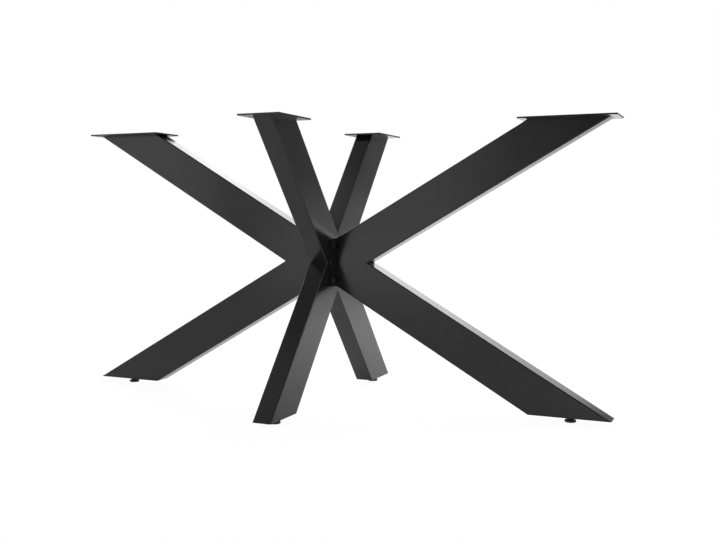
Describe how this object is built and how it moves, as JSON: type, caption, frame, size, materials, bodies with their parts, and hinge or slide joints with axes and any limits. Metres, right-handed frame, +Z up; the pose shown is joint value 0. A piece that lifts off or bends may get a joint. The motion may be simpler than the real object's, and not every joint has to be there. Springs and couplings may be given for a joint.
{
  "type": "x shaped table base",
  "caption": "Table base of rectangular steel tube: an X frame with sideways V frames bolted to its sides, top plates and levelling feet.",
  "frame": {"origin": "on the floor, under the middle of the centre joint", "axes": "+Z up, +X along the table towards the right half frame, -Y towards the front end of the X frame"},
  "size_m": [1.5236, 0.769, 0.735],
  "materials": {
    "powder_coat": "satin black powder coat with a fine texture",
    "black_steel": "black oxide screws",
    "zinc_steel": "bright zinc plated steel",
    "foot_plastic": "moulded polyamide, semi-matt"
  },
  "bodies": {
    "frame": {"right_upper_arm": "powder_coat", "right_lower_arm": "powder_coat", "right_flange": "powder_coat", "left_upper_arm": "powder_coat", "left_lower_arm": "powder_coat", "left_flange": "powder_coat", "x_frame_through_tube": "powder_coat", "x_frame_upper_half_tube": "powder_coat", "x_frame_lower_half_tube": "powder_coat", "right_top_plate": "powder_coat", "left_top_plate": "powder_coat", "front_top_plate": "powder_coat", "back_top_plate": "powder_coat", "right_closing_plate": "powder_coat", "left_closing_plate": "powder_coat", "front_closing_plate": "powder_coat", "back_closing_plate": "powder_coat", "right_foot_bush": "zinc_steel", "left_foot_bush": "zinc_steel", "front_foot_bush": "zinc_steel", "back_foot_bush": "zinc_steel", "centre_sleeves": "zinc_steel", "right_flange_bolts": "black_steel", "left_flange_bolts": "black_steel"},
    "right_foot": {"right_foot_pad": "foot_plastic", "right_foot_stem": "zinc_steel"},
    "left_foot": {"left_foot_pad": "foot_plastic", "left_foot_stem": "zinc_steel"},
    "front_foot": {"front_foot_pad": "foot_plastic", "front_foot_stem": "zinc_steel"},
    "back_foot": {"back_foot_pad": "foot_plastic", "back_foot_stem": "zinc_steel"}
  },
  "joints": [
    {"name": "right_foot_screw", "type": "slide", "parent": "frame", "child": "right_foot", "axis": [0, 0, -1], "range_m": [-0.0025, 0.012]},
    {"name": "left_foot_screw", "type": "slide", "parent": "frame", "child": "left_foot", "axis": [0, 0, -1], "range_m": [-0.0025, 0.012]},
    {"name": "front_foot_screw", "type": "slide", "parent": "frame", "child": "front_foot", "axis": [0, 0, -1], "range_m": [-0.0025, 0.012]},
    {"name": "back_foot_screw", "type": "slide", "parent": "frame", "child": "back_foot", "axis": [0, 0, -1], "range_m": [-0.0025, 0.012]}
  ]
}
